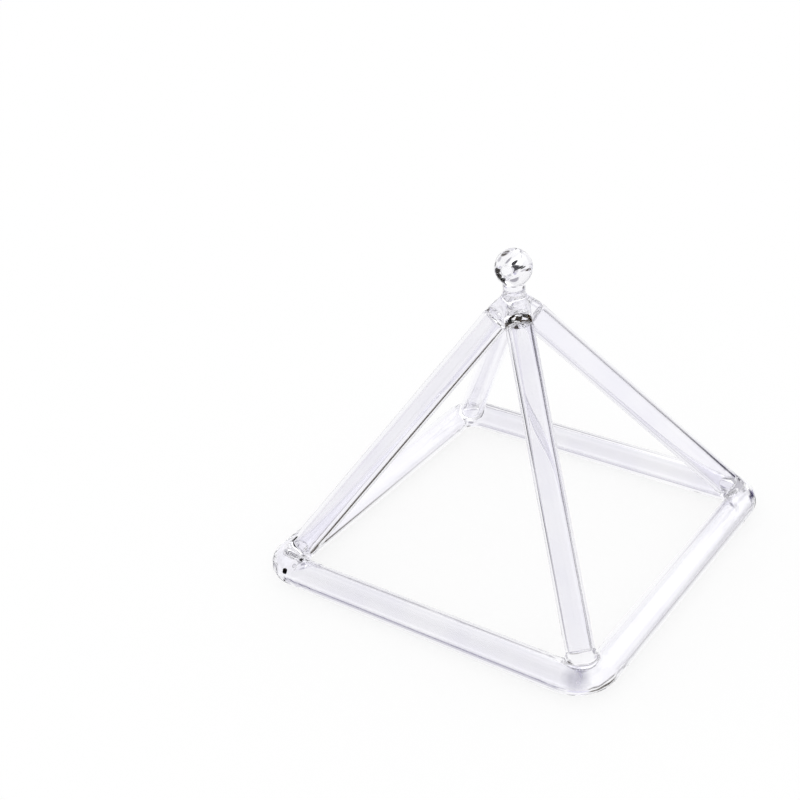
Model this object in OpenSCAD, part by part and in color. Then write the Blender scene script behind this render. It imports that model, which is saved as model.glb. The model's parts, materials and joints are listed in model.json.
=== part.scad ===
// Crystal singing pyramid: an open square pyramid of hollow glass tubes.
// Bent elbows join the base tubes into a hollow ring, and a drilled ball on a short stem tops the apex.
// The base lies on the XY plane, +Z is up and the front faces -Y.

/* [Base] */
// Outside width of the square base
base_size = 254; // [200:1:320]
// Outside diameter of the base tubes and elbows
base_tube_d = 20; // [19:0.5:24]
// Wall of the base tubes and elbows
base_wall = 2.5; // [1.2:0.1:3]
// Inside radius of a corner elbow
elbow_inner_r = 6; // [2:0.5:10]

/* [Risers] */
// Height of the point where the risers' centre lines meet
apex_h = 185; // [150:1:240]
// Outside diameter of a riser tube
riser_tube_d = 18; // [15:0.5:19]
// Wall of a riser tube
riser_wall = 2.5; // [1.2:0.1:3]
// Solid glass between the domed foot of a riser's bore and the base tubes
foot_floor = 4; // [2:0.5:8]
// Gap between neighbouring riser tubes where they leave the apex
riser_gap = 3; // [1.5:0.5:8]
// Diameter to which a riser's solid head tapers at the apex point
head_tip_d = 15; // [13:0.5:16]
// Depth of the domed ends of a riser's bore
dome_h = 3; // [1:0.5:5]

/* [Hanger] */
// Diameter of the stem between the risers and the ball
stem_d = 14; // [13:0.5:17]
// Height of the stem from the apex point to the underside of the ball
stem_h = 8.5; // [6:0.5:16]
// Depth below the apex point at which the core's round end is centred
core_depth = 2; // [1:0.5:4]
// Diameter of the hanging ball
ball_d = 24; // [20:0.5:34]
// Diameter of the hole through the ball
hang_hole_d = 9; // [5:0.5:11]
// Width of the flat rim round each mouth of the hole
hole_rim = 0.9; // [0.4:0.1:2]

/* [Hidden] */
$fn = 96;
glass = [0.93, 0.93, 0.97, 0.6];
// Extra length for cuts that run out through a face
over = 1;

base_r = base_tube_d / 2;
base_bore_r = base_r - base_wall;
side_offset = base_size / 2 - base_r;
bend_r = base_r + elbow_inner_r;
elbow_end = side_offset - bend_r;

// A riser's centre line starts on the elbow's centre line, half way round the bend
riser_r = riser_tube_d / 2;
riser_bore_r = riser_r - riser_wall;
foot_offset = side_offset - bend_r * (1 - cos(45));
riser_rise = apex_h - base_r;
riser_run = foot_offset * sqrt(2);
riser_len = sqrt(riser_rise * riser_rise + riser_run * riser_run);
riser_lean = atan2(riser_run, riser_rise);
lean_x = foot_offset / riser_len;
lean_z = riser_rise / riser_len;

// Radius of the sphere that gives a riser's bore a domed end of depth dome_h
dome_r = (riser_bore_r * riser_bore_r + dome_h * dome_h) / (2 * dome_h);

// The riser tube starts where its domed bore end clears the base tubes by foot_floor: foot_centre
// is how far up the riser the dome's centre then lies, foot_reach from a base tube's centre line
foot_reach = base_r + dome_r + foot_floor;
foot_step = side_offset - foot_offset;
slope_sq = lean_x * lean_x + lean_z * lean_z;
half_b = foot_step * lean_x;
foot_centre = (sqrt(half_b * half_b + slope_sq * (foot_reach * foot_reach - foot_step * foot_step)) - half_b)
              / slope_sq;
foot_seam = foot_centre - dome_r + dome_h;

// The riser tube ends where its rim is half of riser_gap from the plane between two risers
head_seam = (riser_r * sqrt(1 - lean_x * lean_x) + riser_gap / 2) / lean_x;

stem_r = stem_d / 2;
ball_r = ball_d / 2;
ball_z = apex_h + stem_h + ball_r;
hang_hole_r = hang_hole_d / 2;
rim_r = hang_hole_r + hole_rim;
ball_half_w = sqrt(ball_r * ball_r - rim_r * rim_r);

// Quarter turns from the right side, and from the rear right corner
RIGHT = 0;
REAR = 1;
LEFT = 2;
FRONT = 3;
REAR_RIGHT = 0;
REAR_LEFT = 1;
FRONT_LEFT = 2;
FRONT_RIGHT = 3;

// Turns a piece from the right side, or the rear right corner, to where it belongs
module turn(place) {
    rotate([0, 0, 90 * place]) children();
}

// Puts a piece that runs along +Z on the right side's centre line, running from the middle to the rear
module on_side() {
    translate([side_offset, 0, base_r]) rotate([-90, 0, 0]) children();
}

// Puts a piece that runs along +Z on the rear right riser's centre line, from the elbow to the apex
module on_riser() {
    translate([foot_offset, foot_offset, base_r]) rotate([0, 0, 225]) rotate([0, riser_lean, 0]) children();
}

module tube(outer_r, bore_r, length) {
    difference() {
        cylinder(r = outer_r, h = length);
        translate([0, 0, -over]) cylinder(r = bore_r, h = length + 2 * over);
    }
}

// The hollow that gives a riser's bore its domed end: it meets the seam at Z = 0 and bulges towards +Z
module dome() {
    translate([0, 0, dome_h - dome_r]) sphere(r = dome_r);
}

// Sweeps a flat section round the rear right corner
module bend() {
    translate([elbow_end, elbow_end, base_r])
        rotate_extrude(angle = 90) translate([bend_r, 0]) children();
}

// The full thickness of the base round the rear right corner: elbow and both straight sides
module corner_solid() {
    bend() circle(r = base_r);
    on_side() cylinder(r = base_r, h = elbow_end);
    mirror([1, -1, 0]) on_side() cylinder(r = base_r, h = elbow_end);
}

module base_tube(side) {
    color(glass) turn(side) on_side() translate([0, 0, -elbow_end])
        tube(base_r, base_bore_r, 2 * elbow_end);
}

module corner_elbow(corner) {
    color(glass) turn(corner) bend() difference() {
        circle(r = base_r);
        circle(r = base_bore_r);
    }
}

// The closed foot of a riser, cut to sit on the base
module riser_foot(corner) {
    color(glass) turn(corner) difference() {
        on_riser() cylinder(r = riser_r, h = foot_seam);
        corner_solid();
        on_riser() translate([0, 0, foot_seam]) mirror([0, 0, 1]) dome();
    }
}

module riser_tube(corner) {
    color(glass) turn(corner) on_riser() translate([0, 0, foot_seam])
        tube(riser_r, riser_bore_r, riser_len - foot_seam - head_seam);
}

// The stem's core among the riser heads, round at its lower end and flat at the apex point
module core_solid() {
    translate([0, 0, apex_h - core_depth]) rotate_extrude() {
        intersection() {
            circle(r = stem_r);
            translate([0, -stem_r]) square(stem_r);
        }
        square([stem_r, core_depth]);
    }
}

// The closed, tapered head of a riser, cut to fit its neighbours, the core and the stem
module riser_head(corner) {
    reach = riser_r + head_seam;
    color(glass) turn(corner) difference() {
        intersection() {
            on_riser() translate([0, 0, riser_len - head_seam])
                cylinder(r1 = riser_r, r2 = head_tip_d / 2, h = head_seam);
            translate([0, 0, apex_h - reach]) cube([reach, reach, 2 * reach]);
        }
        core_solid();
        translate([0, 0, apex_h]) cylinder(r = stem_r, h = reach);
        on_riser() translate([0, 0, riser_len - head_seam]) dome();
    }
}

module apex_core() {
    color(glass) core_solid();
}

module hanger_stem() {
    color(glass) difference() {
        translate([0, 0, apex_h]) cylinder(r = stem_r, h = ball_z - apex_h);
        translate([0, 0, ball_z]) sphere(r = ball_r);
    }
}

// The ball, drilled from front to rear, with a flat rim at each mouth
module hanger_ball() {
    color(glass) translate([0, 0, ball_z]) rotate([90, 0, 0]) rotate_extrude() intersection() {
        circle(r = ball_r);
        translate([hang_hole_r, -ball_half_w]) square([ball_r, 2 * ball_half_w]);
    }
}

base_tube(FRONT);  // base_tube_front
base_tube(RIGHT);  // base_tube_right
base_tube(REAR);  // base_tube_rear
base_tube(LEFT);  // base_tube_left
corner_elbow(FRONT_LEFT);  // corner_elbow_front_left
corner_elbow(FRONT_RIGHT);  // corner_elbow_front_right
corner_elbow(REAR_RIGHT);  // corner_elbow_rear_right
corner_elbow(REAR_LEFT);  // corner_elbow_rear_left
riser_foot(FRONT_LEFT);  // riser_foot_front_left
riser_foot(FRONT_RIGHT);  // riser_foot_front_right
riser_foot(REAR_RIGHT);  // riser_foot_rear_right
riser_foot(REAR_LEFT);  // riser_foot_rear_left
riser_tube(FRONT_LEFT);  // riser_tube_front_left
riser_tube(FRONT_RIGHT);  // riser_tube_front_right
riser_tube(REAR_RIGHT);  // riser_tube_rear_right
riser_tube(REAR_LEFT);  // riser_tube_rear_left
riser_head(FRONT_LEFT);  // riser_head_front_left
riser_head(FRONT_RIGHT);  // riser_head_front_right
riser_head(REAR_RIGHT);  // riser_head_rear_right
riser_head(REAR_LEFT);  // riser_head_rear_left
apex_core();
hanger_stem();
hanger_ball();
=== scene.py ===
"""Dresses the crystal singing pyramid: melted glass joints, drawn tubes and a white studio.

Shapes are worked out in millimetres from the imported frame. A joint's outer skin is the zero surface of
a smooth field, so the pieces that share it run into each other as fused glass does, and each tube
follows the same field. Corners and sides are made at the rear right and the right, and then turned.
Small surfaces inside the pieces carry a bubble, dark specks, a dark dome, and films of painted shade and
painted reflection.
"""

import json
import math

import bpy
import numpy as np
from mathutils import Matrix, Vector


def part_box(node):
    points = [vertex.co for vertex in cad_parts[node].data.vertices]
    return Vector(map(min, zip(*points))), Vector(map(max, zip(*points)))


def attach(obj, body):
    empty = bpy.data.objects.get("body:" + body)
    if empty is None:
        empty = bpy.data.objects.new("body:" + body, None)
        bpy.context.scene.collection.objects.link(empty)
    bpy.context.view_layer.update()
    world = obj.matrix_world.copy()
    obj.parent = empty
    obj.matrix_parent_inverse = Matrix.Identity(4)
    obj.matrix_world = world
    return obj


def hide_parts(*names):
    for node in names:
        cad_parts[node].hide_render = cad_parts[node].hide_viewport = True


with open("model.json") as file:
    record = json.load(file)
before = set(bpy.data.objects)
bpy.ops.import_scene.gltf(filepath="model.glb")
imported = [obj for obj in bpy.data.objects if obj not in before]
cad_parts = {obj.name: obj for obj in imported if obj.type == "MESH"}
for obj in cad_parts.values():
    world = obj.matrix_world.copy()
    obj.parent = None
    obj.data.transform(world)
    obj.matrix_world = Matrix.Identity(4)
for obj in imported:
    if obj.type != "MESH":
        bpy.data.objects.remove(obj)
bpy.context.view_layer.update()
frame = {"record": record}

MM = 0.001
SLOT = "clear_quartz"
CORNERS = ["rear_right", "rear_left", "front_left", "front_right"]
SIDES = ["right", "rear", "left", "front"]

# Sizes that the nodes' boxes don't show
RISER_R = 9.0
WALL = 2.5
DOME_H = 3.0
CORE_DEPTH = 2.0

# How softly the glass runs together at a joint
CORNER_MELT = 1.3
APEX_MELT = 0.7
RIM_MELT = 0.35
# How deep and how long the ripples are that the flame left at each corner, and at the apex;
# the ring was closed at the front left, which is the most uneven
RIPPLES = [(0.09, 9.0), (0.09, 9.0), (0.12, 7.0), (0.1, 9.0)]
APEX_RIPPLE = (0.09, 9.0)
# A ripple is whole this near to its joint, and then dies out over this length
RIPPLE_REACH = 18
RIPPLE_FADE = 24
# How uneven a drawn bore is, how long its waves are, and the length over which they die out at its ends
BORE_WAVE = (0.05, 34, 12)
# How long the lumps on a speck are, and how deep as a share of its size
LUMP_SIZE = 2.5
LUMP_DEPTH = 0.15
# The share to which the apex core shrinks, how deep its lumps are as a share, and how long
CORE_LUMPS = (0.93, 0.04, 4)
# How many waves add up to an unevenness, and how often each fits into its size, at least and at most
WAVES = 7
WAVE_SPREAD = (0.7, 1.4)

# How fine the meshes are, and how much a tube's rows crowd towards its ends
NET_STEP = 0.6
TUBE_ROWS = 60
TUBE_CROWDING = 0.6
BEND_ROWS = 41
BEND_END_ROWS = 9
DOME_ROWS = 14
SPECK_ROWS = 20
COLUMNS = 128
ROUND = np.linspace(0, 2 * math.pi, COLUMNS, endpoint=False)[:, None]
# How far from the pole the first row of a dome and of a speck lies, in radians
DOME_POLE = 0.02
SPECK_POLE = 0.05

# How often points are moved onto a net's surface and a tube's, and the least slope that counts
SETTLE_STEPS = 4
PUSH_STEPS = 5
LEAST_SLOPE = 0.3

# Where the random numbers start for each kind of unevenness; the corners have 0 to 3
APEX_SEED = 4
RISER_BORE_SEED = 20
BASE_BORE_SEED = 30
CORE_SEED = 60
LUMP_SEED = 70


def box_mm(node):
    """Lowest and highest corner of a CAD node, in millimetres."""
    return [np.array(corner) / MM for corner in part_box(node)]


tube_low, tube_high = box_mm("base_tube_right")
BASE_R = (tube_high[0] - tube_low[0]) / 2
BASE_BORE = BASE_R - WALL
SIDE = tube_high[0] - BASE_R
ELBOW_END = tube_high[1]
BEND_R = SIDE - ELBOW_END
STEM_R, APEX_Z = box_mm("apex_core")[1][[0, 2]]
ball_low, ball_high = box_mm("hanger_ball")
BALL_R = ball_high[0]
BALL_Z = (ball_low[2] + ball_high[2]) / 2
HOLE_R = next(m for m in frame["record"]["mounts"] if m["name"] == "hang_hole")["dims"]["r_mm"]

# The rear right riser, from the middle of its elbow to the apex point
APEX = np.array([0.0, 0.0, APEX_Z])
foot_at = SIDE - BEND_R * (1 - math.cos(math.pi / 4))
FOOT = np.array([foot_at, foot_at, BASE_R])
RISER_LEN = np.linalg.norm(APEX - FOOT)
LEAN = (APEX - FOOT) / RISER_LEN
RISER_BORE = RISER_R - WALL
riser_low, riser_high = box_mm("riser_tube_rear_right")
riser_reach = RISER_R * math.sqrt(1 - LEAN[0] ** 2)
FOOT_SEAM = (foot_at + riser_reach - riser_high[0]) / -LEAN[0]
HEAD_SEAM = (riser_low[0] + riser_reach) / -LEAN[0]
HEAD_AT = RISER_LEN - HEAD_SEAM

# The radius to which a riser's head melts down at the apex, and how much of that comes late
HEAD_TIP_R = 6.2
HEAD_TAPER = 1.3
# A riser's round lower end lies this far up its centre line, on top of the elbow's bore
FOOT_START = 8.0
# Each corner was bent by hand, some a little wider than others
BENDS = [BEND_R + 1, BEND_R, BEND_R - 3, BEND_R + 3]
# How far the rounded lower end of each riser's bore reaches
FOOT_DOMES = [5.0, DOME_H, DOME_H, 2.0]

# Specks and a bubble in the weld that closed the ring, and a streak in the riser above it, before the
# turn to the front left: middle, axis, half length and radius
WELD_SPECKS = [
    ((105.0, 124.9, 14.0), (0.05, 0.89, 0.45), 0.7, 1.9),
    ((98.6, 115.0, 18.8), (0, -0.22, 0.97), 0.6, 1.4),
    ((105.6, 125.4, 7.0), (0.07, 0.94, -0.33), 0.6, 0.9),
]
WELD_BUBBLE = ((99.5, 121.3, 17.9), (0, 0.49, 0.87), 0.7, 1.4)
FOOT_STREAK = ((107.7, 108.4, 28.7), (-0.6, -0.37, 0.71), 3.0, 0.7)
# Painted shade at the front mouth of the ball's hole: dark lumps that stand in for the hole's shaded
# walls, at these degrees round it, from +X towards +Z: how far from the hole's axis, how far to the
# front, half length and radius
MOUTH_SHADE_TURNS = [178, 214, 250]
MOUTH_SHADE = (5.9, 8.8, 1.8, 1.15)
# A dark brown-black dome over the end of the front right riser's bore: how far past the seam, radius and
# height
HEAD_DARK_DOME = (1.5, 7.4, 6.5)
# A film of painted violet light in an elbow lies in its wall, this far from the bend's centre line
PAINTED_LIGHT_R = BASE_BORE + WALL / 3
# Each film, painted light and dark marks alike, is whole out to this share of its reach, and fades from
# there
FILM_CORE = 0.3

# Where the skin of one piece gives way to the next
FOOT_LIFT = 1.2
NET_END = ELBOW_END - 16
STEM_FOOT_Z = APEX_Z + 1.5
BALL_FOOT_Z = BALL_Z - 9.5
# How far a net's box reaches past the glass, below the base, and past the ends that are cut off again
NET_ROOM = 2
BELOW_ROOM = 1.5
END_ROOM = 3


def fuse(softness, *fields):
    """Union of fields that run together over about the given distance."""
    nearest = np.minimum.reduce(fields)
    total = sum(np.exp((nearest - f) / softness) for f in fields)
    return nearest - softness * np.log(total)


def uneven(p, size, seed):
    """Smooth unevenness between about -1 and 1, in lumps of about the given size."""
    rng = np.random.default_rng(seed)
    waves = rng.normal(size=(WAVES, 3))
    waves /= np.linalg.norm(waves, axis=1)[:, None]
    waves *= 2 * math.pi / size * rng.uniform(*WAVE_SPREAD, (WAVES, 1))
    return np.sin(p @ waves.T + rng.uniform(0, 2 * math.pi, WAVES)).mean(axis=1) * 2


def ripple(p, joint, depth, size, seed):
    """Unevenness that dies out along the tubes that leave a joint."""
    away = np.clip((np.linalg.norm(p - joint, axis=1) - RIPPLE_REACH) / RIPPLE_FADE, 0, 1)
    return depth * (1 - away * away * (3 - 2 * away)) * uneven(p, size, seed)


def base_field(p, bend_r):
    """Distance to the rear right corner of the base: the elbow and the two sides that it joins."""
    across = p[:, :2] - (SIDE - bend_r)
    bend = np.abs(np.hypot(across[:, 0], across[:, 1]) - bend_r)
    right = np.where(across[:, 1] <= 0, np.abs(across[:, 0] - bend_r), np.inf)
    rear = np.where(across[:, 0] <= 0, np.abs(across[:, 1] - bend_r), np.inf)
    plan = np.minimum(np.where(across.min(axis=1) > 0, bend, np.inf), np.minimum(right, rear))
    return np.hypot(plan, p[:, 2] - BASE_R) - BASE_R


def along_riser(p, mirror=(1, 1, 1)):
    """How far up the riser each point lies, and how far from its centre line."""
    offset = p * mirror - FOOT
    t = offset @ LEAN
    return t, np.linalg.norm(offset - t[:, None] * LEAN, axis=1)


def riser_field(p, mirror=(1, 1, 1)):
    """Distance to a riser, which starts round inside the elbow and tapers to its tip at the apex."""
    t, off = along_riser(p, mirror)
    taper = np.clip((t - HEAD_AT) / HEAD_SEAM, 0, 1)
    radius = RISER_R - (RISER_R - HEAD_TIP_R) * taper ** HEAD_TAPER
    beyond = np.minimum(t - FOOT_START, 0) + np.maximum(t - RISER_LEN, 0)
    return np.hypot(off, beyond) - radius


def corner_field(p, corner):
    """Distance to a corner before its turn: the base and the riser that is fused onto it."""
    body = fuse(CORNER_MELT, base_field(p, BENDS[corner]), riser_field(p))
    return body + ripple(p, FOOT, *RIPPLES[corner], corner)


def apex_field(p):
    """Distance to the apex: four risers, the stem and the drilled ball."""
    risers = [riser_field(p, (a, b, 1)) for a in (1, -1) for b in (1, -1)]
    past_ends = np.minimum(p[:, 2] - (APEX_Z - STEM_R), 0) + np.maximum(p[:, 2] - BALL_Z, 0)
    stem = np.hypot(np.hypot(p[:, 0], p[:, 1]), past_ends) - STEM_R
    ball = np.linalg.norm(p - [0, 0, BALL_Z], axis=1) - BALL_R
    body = fuse(APEX_MELT, *risers, stem, ball) + ripple(p, APEX, *APEX_RIPPLE, APEX_SEED)
    hole = HOLE_R - np.hypot(p[:, 0], p[:, 2] - BALL_Z)
    return -fuse(RIM_MELT, -body, -hole)


def slope(field, p):
    """Gradient of a field."""
    step = 0.02
    return np.stack([(field(p + s) - field(p - s)) / (2 * step) for s in step * np.eye(3)], axis=1)


def settle(field, p):
    """Points moved onto a field's zero surface, with the surface's normals there."""
    for _ in range(SETTLE_STEPS):
        g = slope(field, p)
        p = p - (field(p) / (g * g).sum(axis=1))[:, None] * g
    g = slope(field, p)
    return p, g / np.linalg.norm(g, axis=1)[:, None]


def net(field, low, high):
    """Triangles over a field's zero surface in a box: one point for each grid cell that it crosses."""
    axes = [np.arange(a, b + NET_STEP, NET_STEP) for a, b in zip(low, high)]
    grid = np.stack(np.meshgrid(*axes, indexing="ij"), axis=-1)
    value = field(grid.reshape(-1, 3)).reshape(grid.shape[:3])
    inside = value < 0
    cells = tuple(n - 1 for n in value.shape)
    total = np.zeros(cells + (3,))
    count = np.zeros(cells)
    for a in range(3):
        for b in (0, 1):
            for c in (0, 1):
                start = [0, 0, 0]
                start[(a + 1) % 3], start[(a + 2) % 3] = b, c
                stop = list(start)
                stop[a] = 1
                one = tuple(slice(s, s + n) for s, n in zip(start, cells))
                two = tuple(slice(s, s + n) for s, n in zip(stop, cells))
                crossed = inside[one] != inside[two]
                share = np.where(crossed, value[one] / np.where(crossed, value[one] - value[two], 1), 0)
                total += crossed[..., None] * (grid[one] + share[..., None] * (grid[two] - grid[one]))
                count += crossed
    used = count > 0
    index = np.full(cells, -1)
    index[used] = np.arange(used.sum())
    points = total[used] / count[used][:, None]
    quads = []
    for a in range(3):
        crossed = inside != np.roll(inside, -1, axis=a)
        keep = np.zeros_like(crossed)
        keep[1:-1, 1:-1, 1:-1] = True
        at = np.stack(np.nonzero(crossed & keep), axis=1)
        at = at[(at < np.array(cells)).all(axis=1)]
        b, c = np.eye(3, dtype=int)[(a + 1) % 3], np.eye(3, dtype=int)[(a + 2) % 3]
        quad = np.stack([index[tuple((at - s).T)] for s in (b + c, c, 0 * b, b)], axis=1)
        outward = inside[tuple(at.T)]
        quads.append(np.where(outward[:, None], quad, quad[:, ::-1]))
    quads = np.concatenate(quads)
    return points, np.concatenate([quads[:, [0, 1, 2]], quads[:, [0, 2, 3]]])


def split(points, faces, value):
    """Cuts triangles where a value changes sign: all points, the faces below zero and those above."""
    hair = 1e-6
    value = np.where(np.abs(value) < hair, hair, value)
    many = (value > 0)[faces].sum(axis=1)
    below_faces, above_faces = [faces[many == 0]], [faces[many == 3]]
    for lone_above in (True, False):
        rows = faces[many == (1 if lone_above else 2)]
        lone = np.argmax((value > 0)[rows] == lone_above, axis=1)
        turned = np.stack([rows[np.arange(len(rows)), (lone + k) % 3] for k in range(3)], axis=1)
        ends = np.sort(np.concatenate([turned[:, [0, 1]], turned[:, [0, 2]]]), axis=1)
        edges, which = np.unique(ends, axis=0, return_inverse=True)
        a, b = edges.T
        share = (value[a] / (value[a] - value[b]))[:, None]
        first = len(points)
        points = np.concatenate([points, points[a] + share * (points[b] - points[a])])
        value = np.concatenate([value, np.full(len(edges), hair)])
        cut = first + which.reshape(-1)
        one, two = cut[:len(turned)], cut[len(turned):]
        tip = np.stack([turned[:, 0], one, two], axis=1)
        rest = np.concatenate([
            np.stack([one, turned[:, 1], turned[:, 2]], axis=1),
            np.stack([one, turned[:, 2], two], axis=1),
        ])
        (above_faces if lone_above else below_faces).append(tip)
        (below_faces if lone_above else above_faces).append(rest)
    return points, np.concatenate(below_faces), np.concatenate(above_faces)


def part_of(points, normals, faces):
    """The points, normals and faces of one part of a net."""
    used, faces = np.unique(faces, return_inverse=True)
    return points[used], normals[used], faces.reshape(-1, 3)


def quarter_turn(surface, quarters):
    """A surface turned about the pyramid's axis."""
    points, normals, faces = surface
    turn = np.array(Matrix.Rotation(quarters * math.pi / 2, 3, "Z"))
    return points @ turn.T, normals @ turn.T, faces


def axis_frame(start, axis):
    """A centre line's start and direction, with unit vectors round it."""
    side = np.cross([0, 0, 1], axis)
    side /= np.linalg.norm(side)
    return start, axis, np.cos(ROUND) * side + np.sin(ROUND) * np.cross(axis, side)


def sweep(rows, normals, hollow):
    """Quads over rows of points round an axis; the faces of a hollow look inwards."""
    m, n = rows.shape[:2]
    i, j = (v.ravel() for v in np.meshgrid(np.arange(m - 1), np.arange(n), indexing="ij"))
    k = (j + 1) % n
    quads = np.stack([i * n + j, i * n + k, (i + 1) * n + k, (i + 1) * n + j], axis=1)
    return rows.reshape(-1, 3), normals.reshape(-1, 3), quads[:, ::-1] if hollow else quads


def outside(line, stations, radius, field):
    """The outside of a tube: rings pushed out from the axis onto the field's surface."""
    start, axis, around = line
    shape = (len(stations), len(around), 3)
    centre = np.broadcast_to((start + stations[:, None] * axis)[:, None], shape).reshape(-1, 3)
    out = np.broadcast_to(around, shape).reshape(-1, 3)
    r = np.full(len(out), radius)
    for _ in range(PUSH_STEPS):
        p = centre + r[:, None] * out
        r = r - field(p) / np.maximum((slope(field, p) * out).sum(axis=1), LEAST_SLOPE)
    p = centre + r[:, None] * out
    g = slope(field, p)
    g /= np.linalg.norm(g, axis=1)[:, None]
    return sweep(p.reshape(shape), g.reshape(shape), False)


def bore(line, stations, radius, seed):
    """The inside of a tube, a little uneven along its length."""
    start, axis, around = line
    depth, length, fade = BORE_WAVE
    from_end = np.minimum(stations - stations[0], stations[-1] - stations) / fade
    wave = depth * uneven(np.outer(stations, [1, 0, 0]), length, seed)
    r = radius + wave * np.clip(from_end, 0, 1)
    rows = (start + stations[:, None] * axis)[:, None] + r[:, None, None] * around
    return sweep(rows, np.broadcast_to(-around, rows.shape), True)


def bent_bore(bend_r, radius=BASE_BORE):
    """The bore round the rear right corner: the right tube's end, the elbow and the rear tube's end."""
    start = SIDE - bend_r
    run = np.linspace(NET_END, start, BEND_END_ROWS)[:-1]
    turn = np.concatenate([0 * run, np.linspace(0, math.pi / 2, BEND_ROWS), 0 * run + math.pi / 2])
    out = np.stack([np.cos(turn), np.sin(turn), 0 * turn], axis=1)
    centre = [start, start, BASE_R] + bend_r * out
    centre[:len(run), 1] = run
    centre[-len(run):, 0] = run[::-1]
    around = np.cos(ROUND) * out[:, None] - np.sin(ROUND) * [0, 0, 1]
    first = np.argmax(centre[:, 1] > ELBOW_END) - 1
    last = len(centre) - 1 - first
    rows = centre[:, None] + radius * around
    cuts = slice(0, first + 1), slice(first, last + 1), slice(last, None)
    return [sweep(rows[cut], -around[cut], True) for cut in cuts]


def dome(line, station, radius, towards, height=DOME_H):
    """The domed end of a bore, bulging by its height along the axis, or against it."""
    start, axis, around = line
    turn = np.linspace(math.pi / 2, DOME_POLE, DOME_ROWS)[:, None, None]
    seam = start + station * axis
    rows = seam + np.cos(turn) * height * towards * axis + np.sin(turn) * radius * around
    tilt = np.cos(turn) / height * towards * axis + np.sin(turn) / radius * around
    points, normals, quads = sweep(rows, -tilt / np.linalg.norm(tilt, axis=2)[..., None], towards > 0)
    last = len(points) - len(around) + np.arange(len(around))
    fan = np.stack([last, np.roll(last, -1), np.full(len(last), len(points))], axis=1)
    points = np.concatenate([points, [seam + towards * height * axis]])
    normals = np.concatenate([normals, [-towards * axis]])
    return points, normals, quads.tolist() + (fan[:, ::-1] if towards > 0 else fan).tolist()


def inclusion(middle, axis, length, radius, hollow=False):
    """A small uneven lump in the glass, round about an axis: a bubble where it is hollow."""
    middle, axis, around = axis_frame(np.array(middle), np.array(axis) / np.linalg.norm(axis))
    turn = np.linspace(SPECK_POLE, math.pi - SPECK_POLE, SPECK_ROWS)[:, None, None]
    offset = np.sin(turn) * radius * around - np.cos(turn) * length * axis
    lumps = uneven(offset.reshape(-1, 3), LUMP_SIZE, LUMP_SEED).reshape(offset.shape[:2])
    normals = np.sin(turn) / radius * around - np.cos(turn) / length * axis
    normals /= np.linalg.norm(normals, axis=2)[..., None]
    rows = middle + offset * (1 + LUMP_DEPTH * lumps)[..., None]
    return sweep(rows, -normals if hollow else normals, hollow)


def mouth_shade(turn):
    """A dark lump beside the front mouth of the ball's hole: painted shade."""
    from_axis, forward, length, radius = MOUTH_SHADE
    c, s = math.cos(math.radians(turn)), math.sin(math.radians(turn))
    return inclusion((from_axis * c, -forward, BALL_Z + from_axis * s), (-s, 0, c), length, radius)


def stations_between(start, stop):
    """Stations along a tube, closer together at both ends."""
    even = np.linspace(0, 1, TUBE_ROWS)
    crowded = (1 - np.cos(math.pi * even)) / 2
    return start + (stop - start) * (TUBE_CROWDING * crowded + (1 - TUBE_CROWDING) * even)


def core_lump():
    """The stem's end among the heads: round below, flat above, a little shrunk and uneven all over."""
    start = np.array([0.0, 0.0, APEX_Z - CORE_DEPTH])
    turn_rows, rim_rows, top_rows, middle_r = 24, 6, 14, 0.02
    turn = np.linspace(DOME_POLE, math.pi / 2, turn_rows)
    round_end = np.stack([np.sin(turn), -np.cos(turn)], axis=1) * STEM_R
    rim = [[STEM_R, h] for h in np.linspace(0, CORE_DEPTH, rim_rows)[1:]]
    top = [[r, CORE_DEPTH] for r in np.linspace(STEM_R, middle_r, top_rows)[1:]]
    outline = np.concatenate([round_end, rim, top])
    around = np.concatenate([np.cos(ROUND), np.sin(ROUND), 0 * ROUND], axis=1)
    rows = start + outline[:, :1, None] * around + outline[:, 1:, None] * [0, 0, 1]
    middle = start + [0, 0, -STEM_R / 2]
    shrink, depth, size = CORE_LUMPS
    lumps = uneven(rows.reshape(-1, 3), size, CORE_SEED).reshape(rows.shape[:2])
    rows = middle + (rows - middle) * (shrink + depth * lumps)[..., None]
    down_the_rows = np.gradient(rows, axis=0)
    round_the_rows = np.roll(rows, -1, axis=1) - np.roll(rows, 1, axis=1)
    normals = np.cross(round_the_rows, down_the_rows)
    normals /= np.linalg.norm(normals, axis=2)[..., None]
    return sweep(rows, normals, False)


def make_piece(node, glass, quarters=0, marks=()):
    """A piece in place of a CAD node, turned to its corner or side.

    Its glass is a list of surfaces, and its marks are pairs of a material and a surface.
    """
    layers = [(quartz, surface) for surface in glass] + list(marks)
    materials = list(dict.fromkeys(material for material, _ in layers))
    points, normals, faces, slots = [], [], [], []
    first = 0
    for material, surface in layers:
        p, n, f = quarter_turn(surface, quarters)
        points.append(p)
        normals.append(n)
        faces += [[i + first for i in face] for face in np.asarray(f, dtype=object).tolist()]
        slots += [materials.index(material)] * len(f)
        first += len(p)
    mesh = bpy.data.meshes.new(node)
    mesh.from_pydata((np.concatenate(points) * MM).tolist(), [], faces)
    mesh.polygons.foreach_set("use_smooth", [True] * len(mesh.polygons))
    mesh.normals_split_custom_set_from_vertices(np.concatenate(normals).tolist())
    for material in materials:
        mesh.materials.append(material)
    mesh.polygons.foreach_set("material_index", slots)
    piece = bpy.data.objects.new("glass_" + node, mesh)
    bpy.context.scene.collection.objects.link(piece)
    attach(piece, "root")
    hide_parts(node)


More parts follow.
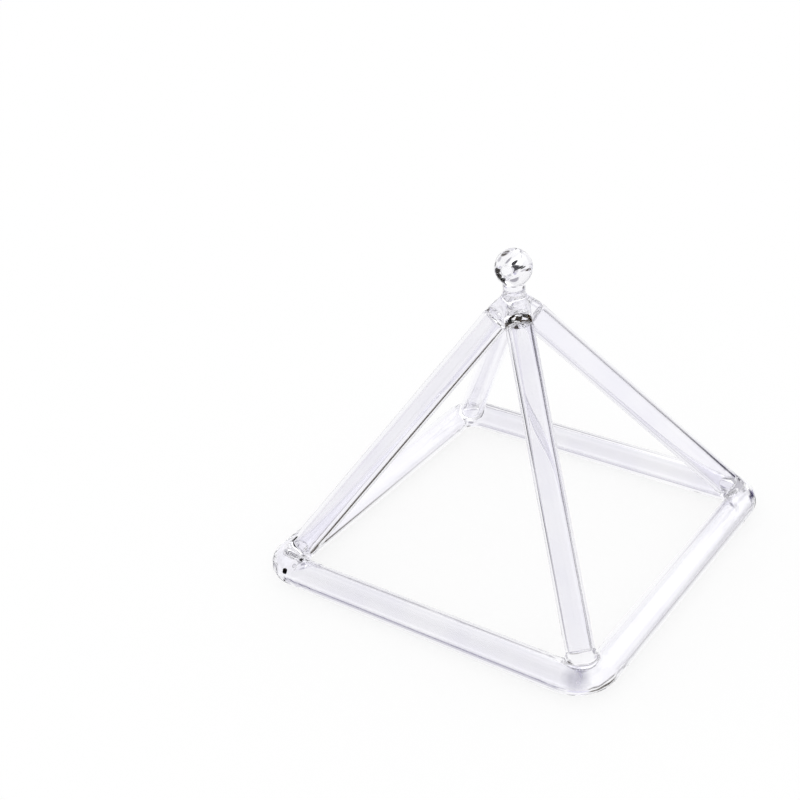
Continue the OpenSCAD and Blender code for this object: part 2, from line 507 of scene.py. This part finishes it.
def quartz_material():
    """Clear quartz: faint lavender in uneven clouds, glossy, with slightly uneven polish."""
    mat = bpy.data.materials.new(SLOT)
    mat.use_nodes = True
    tree = mat.node_tree
    shader = tree.nodes["Principled BSDF"]
    shader.inputs["Transmission Weight"].default_value = 1.0
    shader.inputs["IOR"].default_value = 1.458
    where = tree.nodes.new("ShaderNodeTexCoord")
    clouds = tree.nodes.new("ShaderNodeTexNoise")
    clouds.inputs["Scale"].default_value = 28
    clouds.inputs["Detail"].default_value = 2
    tint = tree.nodes.new("ShaderNodeValToRGB")
    tint.color_ramp.elements[0].position = 0.35
    tint.color_ramp.elements[0].color = (0.945, 0.94, 0.975, 1)
    tint.color_ramp.elements[1].position = 0.7
    tint.color_ramp.elements[1].color = (0.982, 0.98, 0.995, 1)
    polish = tree.nodes.new("ShaderNodeTexNoise")
    polish.inputs["Scale"].default_value = 160
    rough = tree.nodes.new("ShaderNodeMapRange")
    rough.inputs["To Max"].default_value = 0.012
    link = tree.links.new
    link(where.outputs["Object"], clouds.inputs["Vector"])
    link(clouds.outputs["Fac"], tint.inputs["Fac"])
    link(tint.outputs["Color"], shader.inputs["Base Color"])
    link(where.outputs["Object"], polish.inputs["Vector"])
    link(polish.outputs["Fac"], rough.inputs["Value"])
    link(rough.outputs["Result"], shader.inputs["Roughness"])
    return mat


def patchy_film_material(name, dark, light, scale, cover, middle=(0, 0, 0), reach=1000):
    """A patchy film in the glass, for painted shade, painted reflection and dark marks; it fades out at
    its reach from a middle.

    The cover says at which value of the clouds it starts, at which it is full, and how strong it is.
    """
    mat = bpy.data.materials.new(name)
    mat.use_nodes = True
    tree = mat.node_tree
    shader = tree.nodes["Principled BSDF"]
    shader.inputs["Roughness"].default_value = 0.6
    shader.inputs["Specular IOR Level"].default_value = 0
    where = tree.nodes.new("ShaderNodeTexCoord")
    clouds = tree.nodes.new("ShaderNodeTexNoise")
    clouds.inputs["Scale"].default_value = scale
    clouds.inputs["Detail"].default_value = 3
    patches = tree.nodes.new("ShaderNodeMapRange")
    clear, full, strength = cover
    patches.inputs["From Min"].default_value = clear
    patches.inputs["From Max"].default_value = full
    away = tree.nodes.new("ShaderNodeVectorMath")
    away.operation = "DISTANCE"
    away.inputs[1].default_value = [v * MM for v in middle]
    fade = tree.nodes.new("ShaderNodeMapRange")
    fade.interpolation_type = "SMOOTHSTEP"
    fade.inputs["From Min"].default_value = reach * MM
    fade.inputs["From Max"].default_value = FILM_CORE * reach * MM
    fade.inputs["To Max"].default_value = strength
    mottle = tree.nodes.new("ShaderNodeTexNoise")
    mottle.inputs["Scale"].default_value = 180
    tint = tree.nodes.new("ShaderNodeValToRGB")
    tint.color_ramp.elements[0].position = 0.45
    tint.color_ramp.elements[0].color = (*dark, 1)
    tint.color_ramp.elements[1].position = 0.65
    tint.color_ramp.elements[1].color = (*light, 1)
    link = tree.links.new
    link(where.outputs["Object"], clouds.inputs["Vector"])
    link(clouds.outputs["Fac"], patches.inputs["Value"])
    link(where.outputs["Object"], away.inputs[0])
    link(away.outputs["Value"], fade.inputs["Value"])
    link(fade.outputs["Result"], patches.inputs["To Max"])
    link(patches.outputs["Result"], shader.inputs["Alpha"])
    link(where.outputs["Object"], mottle.inputs["Vector"])
    link(mottle.outputs["Fac"], tint.inputs["Fac"])
    link(tint.outputs["Color"], shader.inputs["Base Color"])
    return mat


quartz = quartz_material()
BLACK, DARK_BROWN, BROWN = (0.004, 0.003, 0.003), (0.03, 0.018, 0.009), (0.16, 0.09, 0.03)
# Dark specks in the front left weld and the riser above it, and painted shade at the ball's mouth
specks_and_painted_shade = patchy_film_material("specks_and_painted_shade", BLACK, DARK_BROWN, 300, (0.1, 0.3, 1))
# A dark brown-black dome over the end of the front right riser's bore
dark_dome_film = patchy_film_material("dark_dome_film", BLACK, BROWN, 300, (0.5, 0.54, 1))
# Painted dark reflection in the hub
painted_hub_reflection = patchy_film_material("painted_hub_reflection", BLACK, BROWN, 380, (0.5, 0.9, 0.3))
# Painted violet reflection in the front right elbow, and painted violet shade on the rear right one
elbow_painted_light = {
    "front_right": patchy_film_material(
        "painted_violet_reflection", (0.3, 0.27, 0.55), (0.5, 0.47, 0.75), 60, (0.1, 0.75, 0.8),
        middle=(110.5, -120.5, 15.5), reach=10.5),
    "rear_right": patchy_film_material(
        "painted_violet_shade", (0.02, 0.015, 0.05), (0.2, 0.17, 0.35), 220, (0.42, 0.55, 0.85),
        middle=(123, 105, 17), reach=9),
}
riser_line = axis_frame(FOOT, LEAN)
side_line = axis_frame(np.array([SIDE, 0.0, BASE_R]), np.array([0.0, 1.0, 0.0]))

# The four corners: elbow, the ends of both base tubes and the foot of the riser
tube_ends = []
for corner, place in enumerate(CORNERS):
    def skin(p, corner=corner):
        return corner_field(p, corner)

    low, high = NET_END - END_ROOM, SIDE + BASE_R + NET_ROOM
    points, faces = net(skin, [low, low, -BELOW_ROOM], [high, high, FOOT_SEAM + 2 * BASE_R])
    points, normals = settle(skin, points)
    points, base, foot = split(points, faces, base_field(points, BENDS[corner]) - FOOT_LIFT)
    points, foot, _ = split(points, foot, along_riser(points)[0] - FOOT_SEAM)
    points, right_end, base = split(points, base, points[:, 1] - ELBOW_END)
    points, rear_end, elbow = split(points, base, points[:, 0] - ELBOW_END)
    points, _, right_end = split(points, right_end, points[:, 1] - NET_END)
    points, _, rear_end = split(points, rear_end, points[:, 0] - NET_END)
    points, normals = settle(skin, points)

    right_bore, elbow_bore, rear_bore = bent_bore(BENDS[corner])
    elbow_glass = [part_of(points, normals, elbow), elbow_bore]
    marks = []
    if place == "front_left":
        elbow_glass.append(inclusion(*WELD_BUBBLE, hollow=True))
        marks = [(specks_and_painted_shade, inclusion(*speck)) for speck in WELD_SPECKS]
    # Painted violet reflection and painted violet shade in the front right and rear right elbows
    if place in elbow_painted_light:
        marks = [(elbow_painted_light[place], bent_bore(BENDS[corner], PAINTED_LIGHT_R)[1])]
    make_piece("corner_elbow_" + place, elbow_glass, corner, marks)
    make_piece("riser_foot_" + place, [
        part_of(points, normals, foot),
        dome(riser_line, FOOT_SEAM, RISER_BORE, -1, FOOT_DOMES[corner]),
    ], corner, [(specks_and_painted_shade, inclusion(*FOOT_STREAK))] if place == "front_left" else [])
    tube_ends.append((
        [part_of(points, normals, right_end), right_bore],
        [part_of(points, normals, rear_end), rear_bore],
    ))

# The straight tubes
for corner, place in enumerate(CORNERS):
    def riser_skin(p, corner=corner):
        upper = along_riser(p)[0] > RISER_LEN / 2
        return np.where(upper, apex_field(p), corner_field(p, corner))

    def side_skin(p, corner=corner):
        turned = p[:, [1, 0, 2]] * [-1, 1, 1]
        return np.where(p[:, 1] > 0, corner_field(p, corner), corner_field(turned, (corner - 1) % 4))

    stations = stations_between(FOOT_SEAM, HEAD_AT)
    make_piece("riser_tube_" + place, [
        outside(riser_line, stations, RISER_R, riser_skin),
        bore(riser_line, stations, RISER_BORE, RISER_BORE_SEED + corner),
    ], corner)
    stations = stations_between(-NET_END, NET_END)
    make_piece("base_tube_" + SIDES[corner], [
        outside(side_line, stations, BASE_R, side_skin),
        bore(side_line, stations, BASE_BORE, BASE_BORE_SEED + corner),
        *tube_ends[corner][0],
        *(quarter_turn(end, -1) for end in tube_ends[corner - 1][1]),
    ], corner)

# The apex: four heads, the stem and the ball
edge = RISER_R - HEAD_SEAM * LEAN[0] + END_ROOM
points, faces = net(
    apex_field,
    [-edge, -edge, APEX_Z - LEAN[2] * HEAD_SEAM - RISER_R - NET_ROOM],
    [edge, edge, BALL_Z + BALL_R + NET_ROOM],
)
points, normals = settle(apex_field, points)
points, lower, upper = split(points, faces, points[:, 2] - STEM_FOOT_Z)
points, stem, ball = split(points, upper, points[:, 2] - BALL_FOOT_Z)
points, left, right = split(points, lower, points[:, 0])
heads = {}
points, heads["front_right"], heads["rear_right"] = split(points, right, points[:, 1])
points, heads["front_left"], heads["rear_left"] = split(points, left, points[:, 1])
for place in CORNERS:
    mirror = [1 if "right" in place else -1, 1 if "rear" in place else -1, 1]
    points, _, heads[place] = split(points, heads[place], along_riser(points, mirror)[0] - HEAD_AT)
points, normals = settle(apex_field, points)
# The dark brown-black dome goes into the front right riser's head
past_seam, dark_dome_r, dark_dome_h = HEAD_DARK_DOME
head_marks = [(dark_dome_film, dome(riser_line, HEAD_AT + past_seam, dark_dome_r, 1, dark_dome_h))]
for corner, place in enumerate(CORNERS):
    make_piece("riser_head_" + place, [
        quarter_turn(part_of(points, normals, heads[place]), -corner),
        dome(riser_line, HEAD_AT, RISER_BORE, 1),
    ], corner, head_marks if place == "front_right" else [])
make_piece("hanger_stem", [part_of(points, normals, stem)])
# Painted shade at the front mouth of the ball's hole, as dark lumps
mouth_marks = [(specks_and_painted_shade, mouth_shade(turn)) for turn in MOUTH_SHADE_TURNS]
make_piece("hanger_ball", [part_of(points, normals, ball)], marks=mouth_marks)
# The apex core is only a film of painted dark reflection over the stem's end among the heads
make_piece("apex_core", [], marks=[(painted_hub_reflection, core_lump())])

# Camera at the photo's angle
EYE = (0.4102, -0.6681, 0.5614)
AZIMUTH, ELEVATION, ROLL = (math.radians(a) for a in (37.07, 29.65, -3.956))
back = np.array([
    math.sin(AZIMUTH) * math.cos(ELEVATION),
    -math.cos(AZIMUTH) * math.cos(ELEVATION),
    math.sin(ELEVATION),
])
level = np.cross([0, 0, 1], back)
level /= np.linalg.norm(level)
upright = np.cross(back, level)
across = math.cos(ROLL) * level + math.sin(ROLL) * upright
up = math.cos(ROLL) * upright - math.sin(ROLL) * level
camera = bpy.data.objects.new("camera", bpy.data.cameras.new("camera"))
camera.data.sensor_width = 36
camera.data.lens = 62.37
camera.data.clip_end = 20
camera.matrix_world = Matrix([[across[i], up[i], back[i], EYE[i]] for i in range(3)] + [[0, 0, 0, 1]])
scene = bpy.context.scene
scene.collection.objects.link(camera)
scene.camera = camera

# White floor, bright enough to keep only a faint shadow; what shows in the glass is the studio
half = 6
floor_mesh = bpy.data.meshes.new("floor")
floor_mesh.from_pydata(
    [(-half, -half, 0), (half, -half, 0), (half, half, 0), (-half, half, 0)], [], [(0, 1, 2, 3)])
floor = bpy.data.objects.new("floor", floor_mesh)
scene.collection.objects.link(floor)
floor.visible_transmission = False
floor.visible_glossy = False
paper = bpy.data.materials.new("floor")
paper.use_nodes = True
paper_shader = paper.node_tree.nodes["Principled BSDF"]
paper_shader.inputs["Base Color"].default_value = (0.14, 0.14, 0.14, 1)
paper_shader.inputs["Roughness"].default_value = 1
paper_shader.inputs["Specular IOR Level"].default_value = 0
paper_shader.inputs["Emission Color"].default_value = (1, 1, 1, 1)
paper_shader.inputs["Emission Strength"].default_value = 0.86
floor_mesh.materials.append(paper)

# The studio that shows in the glass: white all round, with dark and pale flags and one bright panel,
# each by its azimuth from +Y towards +X, its elevation and its spread in degrees, and its colour;
# the later ones lie over the earlier ones
FLAGS = [
    (-165, 25, 52, (0.03, 0.027, 0.04)),
    (-88, 50, 28, (0.4, 0.39, 0.43)),
    (12, 40, 40, (1.8, 1.8, 1.8)),
    (-98, 26, 24, (0.55, 0.54, 0.58)),
    (-140, -52, 22, (0.06, 0.05, 0.14)),
    (17, 5, 21, (0.008, 0.007, 0.015)),
    (38, -20, 9, (0.008, 0.007, 0.012)),
    (3, -17, 7, (0.55, 0.52, 0.68)),
    (-86, -29, 14, (0.5, 0.49, 0.53)),
    (-77, -25, 9, (0.03, 0.03, 0.04)),
    (16, -60, 16, (0.03, 0.015, 0.006)),
    (0, -86, 14, (0.82, 0.8, 0.92)),
    (17, -14, 10, (0.66, 0.65, 0.69)),
    (-31, 0, 13, (0.4, 0.39, 0.43)),
    (-85, -63, 16, (0.72, 0.71, 0.76)),
    (20, -39, 10, (0.6, 0.59, 0.62)),
    (35, -4, 10, (0.006, 0.005, 0.008)),
    (4, 29, 14, (0.006, 0.005, 0.008)),
    (9, -8, 7, (0.02, 0.014, 0.07)),
    (7, 2, 9, (0.7, 0.69, 0.73)),
]
# A flag is full out to this share of its spread, and fades from there
FLAG_CORE = 0.6
world = bpy.data.worlds.new("studio")
scene.world = world
world.use_nodes = True
tree = world.node_tree
link = tree.links.new
white = tree.nodes["Background"]
white.inputs["Color"].default_value = (1, 1, 1, 1)
path = tree.nodes.new("ShaderNodeLightPath")
in_glass = tree.nodes.new("ShaderNodeMath")
in_glass.operation = "MAXIMUM"
link(path.outputs["Is Transmission Ray"], in_glass.inputs[0])
link(path.outputs["Is Glossy Ray"], in_glass.inputs[1])
direction = tree.nodes.new("ShaderNodeTexCoord")
studio = tree.nodes.new("ShaderNodeBackground")
seen = None
for azimuth, elevation, spread, colour in FLAGS:
    a, e, s = (math.radians(v) for v in (azimuth, elevation, spread))
    towards = tree.nodes.new("ShaderNodeVectorMath")
    towards.operation = "DOT_PRODUCT"
    towards.inputs[1].default_value = (math.sin(a) * math.cos(e), math.cos(a) * math.cos(e), math.sin(e))
    flag = tree.nodes.new("ShaderNodeMapRange")
    flag.interpolation_type = "SMOOTHSTEP"
    flag.inputs["From Min"].default_value = math.cos(s)
    flag.inputs["From Max"].default_value = math.cos(s * FLAG_CORE)
    mix = tree.nodes.new("ShaderNodeMix")
    mix.data_type = "RGBA"
    mix.inputs["A"].default_value = (1, 1, 1, 1)
    mix.inputs["B"].default_value = (*colour, 1)
    link(direction.outputs["Generated"], towards.inputs[0])
    link(towards.outputs["Value"], flag.inputs["Value"])
    link(flag.outputs["Result"], mix.inputs["Factor"])
    if seen:
        link(seen, mix.inputs["A"])
    seen = mix.outputs["Result"]
link(seen, studio.inputs["Color"])
either = tree.nodes.new("ShaderNodeMixShader")
link(in_glass.outputs["Value"], either.inputs["Fac"])
link(white.outputs["Background"], either.inputs[1])
link(studio.outputs["Background"], either.inputs[2])
link(either.outputs["Shader"], tree.nodes["World Output"].inputs["Surface"])

# Light runs a long way inside the fused glass before it finds a way out
BOUNCES = 160
scene.cycles.max_bounces = BOUNCES
scene.cycles.transmission_bounces = BOUNCES
scene.cycles.glossy_bounces = BOUNCES
scene.view_settings.view_transform = "Standard"
